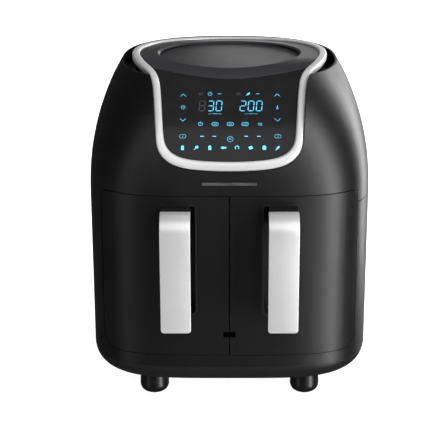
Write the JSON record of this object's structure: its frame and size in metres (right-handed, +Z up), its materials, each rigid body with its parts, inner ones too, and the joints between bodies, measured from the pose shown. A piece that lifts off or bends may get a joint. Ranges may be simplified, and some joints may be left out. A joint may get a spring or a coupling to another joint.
{
  "type": "air fryer",
  "caption": "Countertop air fryer with two side-by-side drawers, silver handles, a sloping touch panel and a round lid plate framed by a silver band.",
  "frame": {"origin": "on the floor, in the middle of the whole footprint, handles and cord gland included", "axes": "+X to the right as a person faces the front, +Y to the back, +Z up"},
  "size_m": [0.316, 0.391, 0.3761],
  "materials": {
    "shell_black": "satin moulded ABS",
    "tray_black": "satin moulded ABS",
    "foot_black": "gloss moulded ABS",
    "pad_rubber": "moulded rubber",
    "trim_silver": "satin silver plating",
    "lid_grey": "dark grey satin plastic",
    "panel_gloss": "piano black, lit from behind",
    "inner_black": "fine-textured black nylon",
    "handle_silver": "satin brushed",
    "cavity_steel": "galvanised sheet",
    "basket_coating": "non-stick coating on steel",
    "silicone_grey": "moulded silicone",
    "element_steel": "drawn steel",
    "fan_aluminium": "pressed sheet",
    "motor_steel": "zinc-plated steel",
    "board_green": "solder mask",
    "switch_black": "moulded thermoset",
    "plunger_white": "moulded nylon",
    "sensor_brass": "turned brass",
    "screw_steel": "zinc-plated steel"
  },
  "bodies": {
    "housing": {"badge_bar": "trim_silver", "base_screws": "screw_steel", "base_tray": "tray_black", "centre_divider": "cavity_steel", "centre_keeper": "inner_black", "control_board": "board_green", "cord_gland": "inner_black", "drawer_runners": "cavity_steel", "feet": "foot_black", "foot_pads": "pad_rubber", "front_frame": "cavity_steel", "head_carrier": "inner_black", "head_screws": "screw_steel", "left_cavity_liner": "cavity_steel", "left_fan_motor": "motor_steel", "left_heater_guard": "cavity_steel", "left_heating_element": "element_steel", "left_switch_body": "switch_black", "lid_plate": "lid_grey", "lower_housing": "shell_black", "motor_brackets": "cavity_steel", "power_board": "board_green", "rear_grille": "inner_black", "right_cavity_liner": "cavity_steel", "right_fan_motor": "motor_steel", "right_heater_guard": "cavity_steel", "right_heating_element": "element_steel", "right_switch_body": "switch_black", "temperature_sensors": "sensor_brass", "terminal_block": "switch_black", "thermal_cutouts": "sensor_brass", "touch_panel": "panel_gloss", "trim_ring": "trim_silver", "upper_housing": "shell_black"},
    "left_drawer": {"left_front_panel": "shell_black", "left_panel_liner": "inner_black", "left_finger_pocket": "inner_black", "left_handle_core": "inner_black", "left_handle_strip": "handle_silver", "left_basket": "basket_coating", "left_drawer_screws": "screw_steel"},
    "left_crisper": {"left_crisper_plate": "basket_coating", "left_crisper_bumpers": "silicone_grey"},
    "left_fan": {"left_motor_shaft": "element_steel", "left_convection_fan": "fan_aluminium", "left_cooling_fan": "fan_aluminium"},
    "left_plunger": {"left_switch_plunger": "plunger_white"},
    "right_drawer": {"right_front_panel": "shell_black", "right_panel_liner": "inner_black", "right_finger_pocket": "inner_black", "right_handle_core": "inner_black", "right_handle_strip": "handle_silver", "right_basket": "basket_coating", "right_drawer_screws": "screw_steel"},
    "right_crisper": {"right_crisper_plate": "basket_coating", "right_crisper_bumpers": "silicone_grey"},
    "right_fan": {"right_motor_shaft": "element_steel", "right_convection_fan": "fan_aluminium", "right_cooling_fan": "fan_aluminium"},
    "right_plunger": {"right_switch_plunger": "plunger_white"}
  },
  "joints": [
    {"name": "left_drawer_slide", "type": "slide", "parent": "housing", "child": "left_drawer", "axis": [0, -1, 0], "range_m": [0, 0.3]},
    {"name": "left_crisper_lift", "type": "slide", "parent": "left_drawer", "child": "left_crisper", "axis": [0, 0, 1], "range_m": [0, 0.1]},
    {"name": "left_fan_spin", "type": "hinge", "parent": "housing", "child": "left_fan", "pos_m": [-0.072, 0.015, 0.25], "axis": [0, 0, 1], "continuous": true},
    {"name": "left_plunger_press", "type": "slide", "parent": "housing", "child": "left_plunger", "axis": [0, -1, 0], "range_m": [-0.0015, 0], "stiffness_N_per_m": 200},
    {"name": "right_drawer_slide", "type": "slide", "parent": "housing", "child": "right_drawer", "axis": [0, -1, 0], "range_m": [0, 0.3]},
    {"name": "right_crisper_lift", "type": "slide", "parent": "right_drawer", "child": "right_crisper", "axis": [0, 0, 1], "range_m": [0, 0.1]},
    {"name": "right_fan_spin", "type": "hinge", "parent": "housing", "child": "right_fan", "pos_m": [0.072, 0.015, 0.25], "axis": [0, 0, 1], "continuous": true},
    {"name": "right_plunger_press", "type": "slide", "parent": "housing", "child": "right_plunger", "axis": [0, -1, 0], "range_m": [-0.0015, 0], "stiffness_N_per_m": 200}
  ]
}
